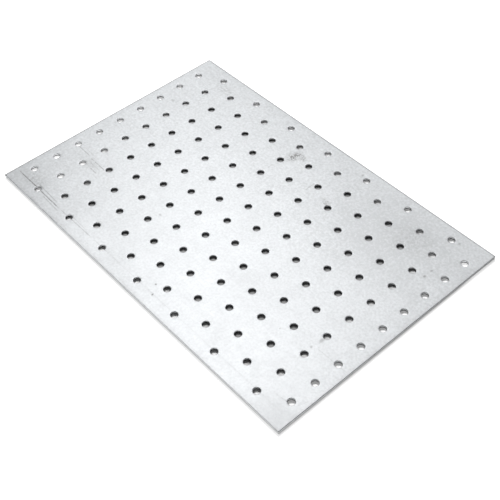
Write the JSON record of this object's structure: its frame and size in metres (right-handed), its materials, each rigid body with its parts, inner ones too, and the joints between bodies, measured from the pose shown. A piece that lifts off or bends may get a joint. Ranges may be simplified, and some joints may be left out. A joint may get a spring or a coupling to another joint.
{
  "type": "perforated nail plate",
  "caption": "Flat rectangular galvanised steel plate punched all over with staggered nail holes, for joining timbers.",
  "frame": {"origin": "middle of the bottom face, which lies on the timber", "axes": "+X along the plate, +Y across it, +Z out of the face that the nails are driven from"},
  "size_m": [0.3, 0.2, 0.002],
  "materials": {
    "galvanised_steel": "continuously hot-dip galvanised sheet, fine frosted spangle, cut edges bare"
  },
  "bodies": {
    "root": {"nail_plate": "galvanised_steel"}
  },
  "joints": []
}
